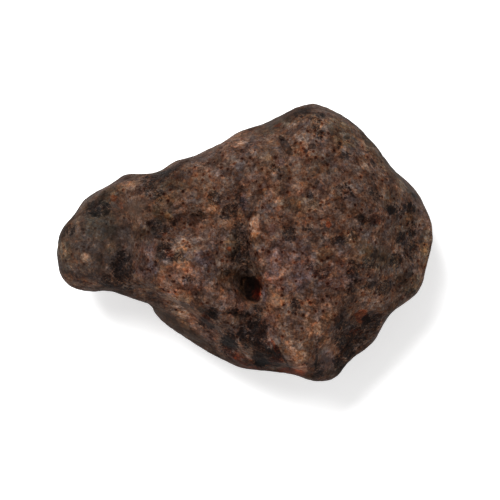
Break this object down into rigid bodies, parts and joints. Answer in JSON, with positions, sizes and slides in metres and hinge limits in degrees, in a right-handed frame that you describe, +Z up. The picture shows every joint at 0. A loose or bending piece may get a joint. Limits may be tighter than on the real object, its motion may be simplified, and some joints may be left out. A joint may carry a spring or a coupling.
{
  "type": "lunar meteorite",
  "caption": "Loose broken stone, pear-shaped from above, with a narrow lobe beyond a shallow neck, a deep pit by a groove, worn edges and a flat underside.",
  "frame": {"origin": "centre of the bounding box seen from above, at the height of the flat bed the stone lies on", "axes": "+X from the narrow lobe to the broad end, +Y across the stone, +Z up out of the flat bed"},
  "size_m": [0.0752, 0.0554, 0.0374],
  "materials": {
    "breccia": "rough weathered breccia, rusty brown with pale and dark clasts"
  },
  "bodies": {
    "root": {"stone": "breccia"}
  },
  "joints": []
}
